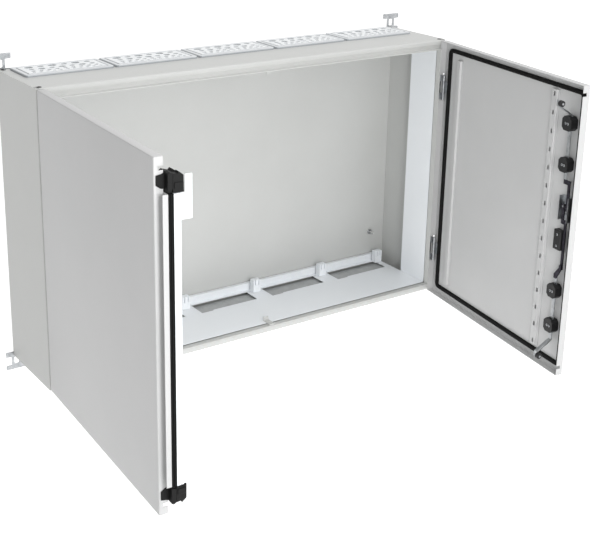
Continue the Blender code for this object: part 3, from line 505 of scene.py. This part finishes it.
def cornerPath(corners, radius, closed, turnPoints):
    # a line through the corners with quarter turns of a radius, as points and the normal to its left
    count = len(corners)
    points, normals = [], []
    for index in range(count):
        here = np.array(corners[index], float)
        if not closed and index in (0, count - 1):
            other = np.array(corners[1 if index == 0 else -2], float)
            way = (other - here) if index == 0 else (here - other)
            way /= np.linalg.norm(way)
            points.append(here)
            normals.append((-way[1], way[0]))
            continue
        before = np.array(corners[index - 1], float) - here
        after = np.array(corners[(index + 1) % count], float) - here
        before /= np.linalg.norm(before)
        after /= np.linalg.norm(after)
        centre = here + (before + after) * radius
        sweep = np.linspace(0, math.pi / 2, turnPoints)[:, None]
        spoke = -after * np.cos(sweep) - before * np.sin(sweep)
        points.extend(centre + spoke * radius)
        way = -before * np.cos(sweep) + after * np.sin(sweep)
        normals.extend(np.stack([-way[:, 1], way[:, 0]], axis=-1))
    return np.array(points), np.array(normals)


def sealPiece(name, door, corners, closed, node):
    # the section carried along the path: path + normal*across in the door's face, height off its skin
    path, normal = cornerPath(corners, seal["corner"], closed, seal["turnPoints"])
    across, height = sealSection()
    u = path[:, 0][:, None] + normal[:, 0][:, None] * across
    z = path[:, 1][:, None] + normal[:, 1][:, None] * across
    n = height[None, :] + 0 * u
    points = doorPlace(door, u, n, z).reshape(-1, 3)
    faces = gridFaces(len(path), len(across), closed, True)
    if not closed:
        faces.append(list(range(len(across))))
        faces.append([(len(path) - 1) * len(across) + i for i in range(len(across))])
    asPiece(name, doors[door]["body"], sealRubber, "black_rubber", points, faces, [node], smooth=50)


hingeU, freeU, reachZ = seal["hingeU"], seal["freeU"], seal["z"]
endU = doorLength - seal["openEnd"]
sealPiece("rightDoorSeal", "right", [(hingeU, -reachZ), (freeU, -reachZ), (freeU, reachZ), (hingeU, reachZ)],
          True, "right_door_seal")
sealPiece("leftDoorSeal", "left", [(endU, -reachZ), (hingeU, -reachZ), (hingeU, reachZ), (endU, reachZ)],
          False, "left_door_seal")


# Closing edge of the left door: how far in from the outer face each part starts and ends, how far the
# strips run up and down, and where the catch plates start and end.
closing = {"end": 324.5 * mm, "sealN": 23.1 * mm, "sealHigh": 34.1 * mm, "profileN": 34.4 * mm,
           "profileHigh": 49.9 * mm, "plateHigh": 75.4 * mm, "plateEnd": 361 * mm, "plateStart": 268 * mm}


def onLeft(u, n, z):
    # a section of (u, n) carried along z
    return doorPlace("left", u, n, z)


def alongLeft(n, z, u):
    # a section of (n, z) carried along u
    return doorPlace("left", u, n, z)


def closingSeal():
    # an extruded strip: three ribs, with two grooves between them, run its whole length
    edge = doorLength
    low, high = closing["sealN"], closing["sealHigh"]
    out = edge + 20 * mm
    outline = [(edge - 6 * mm, low), (out - 1 * mm, low), (out, low + 1 * mm), (out, low + 2.6 * mm),
               (out - 1.8 * mm, low + 3.2 * mm), (out - 1.8 * mm, low + 4.4 * mm), (out, low + 5 * mm),
               (out, low + 7.2 * mm), (out - 1.6 * mm, low + 7.8 * mm), (out - 1.6 * mm, low + 8.8 * mm),
               (out - 0.4 * mm, low + 9.4 * mm), (out - 1 * mm, high), (edge - 6 * mm, high)]
    end = closing["end"]
    points, faces = carried(outline, -end, end, onLeft)
    asPiece("closingSealStrip", "left_door", sealRubber, "black_rubber", points, faces, ["closing_seal"],
            bevel=0.35 * mm)


def closingProfile():
    # a box section with a narrow gutter along its face, and near each end a catch plate: a foot on the
    # box, an upright sheet with a longer tongue, and a small tab
    edge = doorLength
    low, high = closing["profileN"], closing["profileHigh"]
    out = edge + 19.5 * mm
    outline = [(edge - 26 * mm, low), (out, low), (out, low + 9.2 * mm), (out - 1.4 * mm, low + 9.8 * mm),
               (out - 1.4 * mm, low + 11.2 * mm), (out, low + 11.8 * mm), (out, high), (edge - 26 * mm, high)]
    shapes = [carried(outline, -closing["end"], closing["end"], onLeft)]
    plateLow = high + 1 * mm
    for side in (-1, 1):
        ends = sorted((side * closing["plateStart"], side * closing["end"]))
        foot = [(edge - 16 * mm, high - 0.2 * mm), (out - 2 * mm, high - 0.2 * mm),
                (out - 2 * mm, high + 1.4 * mm), (edge - 16 * mm, high + 1.4 * mm)]
        shapes.append(carried(foot, ends[0], ends[1], onLeft))
        start, far = closing["plateStart"], closing["plateEnd"]
        sheet = [(plateLow, start), (closing["plateHigh"], start), (closing["plateHigh"], far),
                 (59.5 * mm, far), (59.5 * mm, closing["end"] - 1 * mm), (plateLow, closing["end"] - 1 * mm)]
        sheet = [(a, side * b) for a, b in sheet]
        shapes.append(carried(sheet, out - 3.4 * mm, out - 1.8 * mm, alongLeft))
        tab = [(52 * mm, 312 * mm), (62 * mm, 312 * mm), (62 * mm, 316 * mm), (52 * mm, 316 * mm)]
        tab = [(a, side * b) for a, b in tab]
        shapes.append(carried(tab, out - 2.2 * mm, out + 0.2 * mm, alongLeft))
    points, faces = gathered(shapes)
    asPiece("closingProfileSection", "left_door", whitePaint, "white_powder_coat", points, faces,
            ["closing_profile"], bevel=0.5 * mm)


# Moulded rubber at each end of the closing edge, as overlapping slabs: start and end beyond the door's edge,
# and an outline of (in from the outer face, up from the middle), all in millimetres.
blockSlabs = {
    "core": (-25.6, 14.5, [(22.7, 325.2), (56.5, 325.2), (57.0, 329), (57.0, 358), (46.5, 366.0),
                           (42.5, 361.5), (27.0, 366.0), (22.7, 362)]),
    "cheek": (0.4, 2.5, [(4.2, 340), (14.0, 333), (24.0, 331.5), (24.0, 366.0), (17.0, 362.6), (4.2, 360.5)]),
    "frontLobe": (1.0, 17.0, [(22.7, 330.5), (26.5, 330.0), (34.5, 333), (34.5, 365.0), (27.5, 368.8),
                              (22.7, 366.5)]),
    "rearLobe": (3.0, 17.8, [(33.5, 326.0), (57.0, 325.2), (57.3, 327), (56.8, 360.0), (46.0, 368.6),
                             (44.0, 364.0), (33.5, 364.8)]),
    "cap": (12.0, 19.6, [(36.0, 334), (55.0, 333), (55.0, 346), (36.0, 347)]),
}


def cornerBlock(name, node, side):
    # every slab's outline is carried from its start to its end; the lower block is the upper one mirrored
    edge = doorLength
    shapes = []
    for low, high, outline in blockSlabs.values():
        outline = [(a * mm, side * b * mm) for a, b in outline]
        shapes.append(carried(outline, edge + low * mm, edge + high * mm, alongLeft))
    points, faces = gathered(shapes)
    asPiece(name, "left_door", blockRubber, "black_rubber", points, faces, [node], bevel=0.8 * mm, segments=3)


closingSeal()
closingProfile()
cornerBlock("upperCornerBlock", "upper_corner_block", 1)
cornerBlock("lowerCornerBlock", "lower_corner_block", -1)
print("seals and closing edge done")


def screwHead(radius, height):
    # a low domed head: a short straight foot, then radius*cos out and height*sin up over a quarter turn
    foot, dome, out = 0.15, 0.85, 0.98
    angle = np.linspace(0, math.pi / 2, 6)
    profile = [(radius * out, 0.0), (radius, foot * height)]
    profile += [(radius * math.cos(a) * out + (1 - out) * radius, foot * height + dome * height * math.sin(a))
                for a in angle[1:-1]]
    profile += [(radius * 0.12, height)]
    return turnedRing(profile, 20)


def hexHead(radius, height):
    # six sides with a chamfer round the top
    chamfer = radius * 0.12
    profile = [(radius, 0.0), (radius, height - chamfer), (radius - chamfer, height)]
    return turnedRing(profile, 6)


# The cross recess in a head: half length as a share of the radius, half width, from and to as shares of
# the height, and its turn in radians.
crossRecess = {"length": 0.7, "width": 0.5 * mm, "low": 0.9, "high": 1.12, "twist": 0.5}


def doorScrew(u, n, z, radius, height):
    # a head on the right door, and the two bars of the cross recess in its top, drawn as dark bars: painted
    # shade in the recess
    points, faces = screwHead(radius, height)
    centre = doorPlace("right", u, n, z)
    inward = doorPlace("right", u, n + 1.0, z) - centre
    half, thick = radius * crossRecess["length"], crossRecess["width"]
    bar = [(-half, -thick), (half, -thick), (half, thick), (-half, thick)]
    barPoints, barFaces = carried(bar, height * crossRecess["low"], height * crossRecess["high"], unmoved)
    twists = (crossRecess["twist"], crossRecess["twist"] + math.pi / 2)
    cross = [(aimed(barPoints, centre, inward, twist), barFaces) for twist in twists]
    return (aimed(points, centre, inward), faces), cross


# Screws in pairs on the rod guides, and two in the lock's cover.
guideScrew = {"u": 600 * mm, "apart": 9 * mm, "z": (290 * mm, 180 * mm, -170 * mm, -270 * mm),
              "n": 23.9 * mm, "radius": 3.6 * mm, "height": 1.6 * mm}
coverScrew = {"u": 596 * mm, "z": (-12 * mm, -44 * mm), "n": 17.9 * mm, "radius": 3.2 * mm,
              "height": 1.5 * mm}


def lockScrews():
    screws = []
    for z in guideScrew["z"]:
        for side in (-0.5, 0.5):
            screws.append(doorScrew(guideScrew["u"] + side * guideScrew["apart"], guideScrew["n"], z,
                                    guideScrew["radius"], guideScrew["height"]))
    for z in coverScrew["z"]:
        screws.append(doorScrew(coverScrew["u"], coverScrew["n"], z, coverScrew["radius"],
                                coverScrew["height"]))
    points, faces = gathered([head for head, _ in screws])
    asPiece("lockScrews", "right_door", zincPlate, "zinc_plated_steel", points, faces, smooth=50)
    # the recess bars in dark steel, not the heads' zinc: painted shade in the cross
    points, faces = gathered([bar for _, cross in screws for bar in cross])
    asPiece("lockScrewRecesses", "right_door", darkSteel, "phosphated_steel", points, faces)


plug = {"x": 636 * mm, "y": (-238 * mm, -8.4 * mm), "z": 400.1 * mm, "radius": 6.3 * mm, "height": 1.8 * mm}


def cornerPlugs():
    # eight plugs, in the corners of the top and of the bottom
    plugs = []
    for x in (-plug["x"], plug["x"]):
        for y in plug["y"]:
            for side in (1, -1):
                points, faces = screwHead(plug["radius"], plug["height"])
                plugs.append((aimed(points, (x, y, side * plug["z"]), (0, 0, side)), faces))
    points, faces = gathered(plugs)
    asPiece("cornerPlugs", "enclosure", blackNylon, "black_nylon", points, faces, smooth=50)


# The nut on the earthing stud and the washer in front of it: place, then y, radius and height of each.
earth = {"x": 590 * mm, "z": -272 * mm, "nut": (-1.8 * mm, 6.5 * mm, 5 * mm),
         "washer": (-7.0 * mm, 8.0 * mm, 1.2 * mm)}


def earthNut():
    shapes = []
    for kind, shape in (("nut", hexHead), ("washer", screwHead)):
        y, radius, height = earth[kind]
        points, faces = shape(radius, height)
        shapes.append((aimed(points, (earth["x"], y, earth["z"]), (0, -1, 0)), faces))
    points, faces = gathered(shapes)
    asPiece("earthNut", "enclosure", zincPlate, "zinc_plated_steel", points, faces, smooth=50)


lockScrews()
cornerPlugs()
earthNut()
print("fasteners done")


# The edges that the metalwork really has.
softened("left_door_panel", "leftDoorTray", 0.35 * mm)
softened("right_door_panel", "rightDoorTray", 0.35 * mm)
softened("front_frame", "frontFrame", 0.4 * mm)
softened("floor_plate", "floorPlate", 0.45 * mm)
softened("rear_rail", "rearRail", 0.6 * mm)
# the closing lip is drawn in the door's grey paint in place of its white finish: painted shade for the
# shadowed channel beside the seal
softened("closing_lip", "closingLip", 0.4 * mm, doorPaint)
lockBevel = 0.5 * mm
for part in ("lock_case", "lock_cover", "lock_rail", "lock_crank", "upper_link", "lower_link", "upper_rod",
             "lower_rod", "handle_plate", "handle_fork", "rod_guide_1", "rod_guide_2", "rod_guide_3",
             "rod_guide_4", "upper_left_lug", "upper_right_lug", "lower_left_lug", "lower_right_lug"):
    softened(part, part.replace("_", " ").title().replace(" ", ""), lockBevel)
print("rounded edges done")


# Camera, light and floor. Angles are in degrees, and the lens is in millimetres on a 36 mm sensor.
view = {"place": (-1.6892, -2.7977, 1.0246), "yaw": 33.65, "pitch": -17.64, "roll": 0.74,
        "lens": 70.6576271, "shift": (0.053, -0.161)}


def makeCamera():
    # ahead from yaw and pitch; roll turns right and top about it
    yaw, pitch, roll = (math.radians(view[key]) for key in ("yaw", "pitch", "roll"))
    ahead = Vector((math.sin(yaw) * math.cos(pitch), math.cos(yaw) * math.cos(pitch), math.sin(pitch)))
    side = Vector((math.cos(yaw), -math.sin(yaw), 0))
    up = side.cross(ahead)
    right = side * math.cos(roll) + up * math.sin(roll)
    top = up * math.cos(roll) - side * math.sin(roll)
    data = bpy.data.cameras.new("camera")
    data.sensor_width = 36.0
    data.lens = view["lens"]
    data.shift_x, data.shift_y = view["shift"]
    data.clip_start = 0.05
    data.clip_end = 50
    camera = bpy.data.objects.new("camera", data)
    bpy.context.scene.collection.objects.link(camera)
    turn = Matrix((right, top, -ahead)).transposed().to_4x4()
    camera.matrix_world = Matrix.Translation(view["place"]) @ turn
    bpy.context.scene.camera = camera


def areaLight(name, place, target, size, power):
    data = bpy.data.lights.new(name, "AREA")
    data.shape = "DISK"
    data.size = size
    data.energy = power
    lamp = bpy.data.objects.new(name, data)
    bpy.context.scene.collection.objects.link(lamp)
    lamp.location = place
    lamp.rotation_euler = (Vector(target) - Vector(place)).to_track_quat("-Z", "Y").to_euler()


# The cabinet hangs on a wall, so the floor is some way below it. The world is dim from darkX and lit from
# brightX on, in the direction's x.
studio = {"floorDrop": 0.55, "floorSize": 30.0, "floorGlow": 0.35, "darkX": -0.75, "brightX": 0.25,
          "dark": 0.30, "bright": 1.06}
# place, target, size in metres and power in watts
lights = {
    "frontLight": ((0.6, -4.0, 1.2), (0.1, -0.2, 0), 2.0, 4),
    "doorLight": ((-0.55, -2.6, 0.6), (0.62, -0.6, -0.1), 0.8, 24),
    "topLight": ((0.2, -0.6, 3.4), (0, -0.2, 0), 2.6, 18),
}


def makeStage():
    size, floorZ = studio["floorSize"], cadBounds[0][2] - studio["floorDrop"]
    mesh = bpy.data.meshes.new("paleFloor")
    corners = [(-size, -size, floorZ), (size, -size, floorZ), (size, size, floorZ), (-size, size, floorZ)]
    mesh.from_pydata(corners, [], [(0, 1, 2, 3)])
    floor = bpy.data.objects.new("paleFloor", mesh)
    bpy.context.scene.collection.objects.link(floor)
    made, _, shader, _ = startMaterial("paleFloor", 0.9, 0.0)
    shader.inputs["Base Color"].default_value = (0.95, 0.95, 0.95, 1)
    shader.inputs["Emission Color"].default_value = (1, 1, 1, 1)
    shader.inputs["Emission Strength"].default_value = studio["floorGlow"]
    mesh.materials.append(made)
    world = bpy.data.worlds.new("studio")
    world.use_nodes = True
    tree = world.node_tree
    place = addNode(tree, "ShaderNodeTexCoord")
    parts = addNode(tree, "ShaderNodeSeparateXYZ", [("Vector", place.outputs["Generated"])])
    ramp = addNode(tree, "ShaderNodeMapRange", [("Value", parts.outputs["X"])],
                   From_Min=studio["darkX"], From_Max=studio["brightX"], To_Min=studio["dark"],
                   To_Max=studio["bright"])
    tree.links.new(ramp.outputs["Result"], tree.nodes["Background"].inputs["Strength"])
    tree.nodes["Background"].inputs["Color"].default_value = (1, 1, 1, 1)
    bpy.context.scene.world = world
    for name, (place, target, size, power) in lights.items():
        areaLight(name, place, target, size, power)
    bpy.context.scene.view_settings.view_transform = "Standard"


makeCamera()
makeStage()
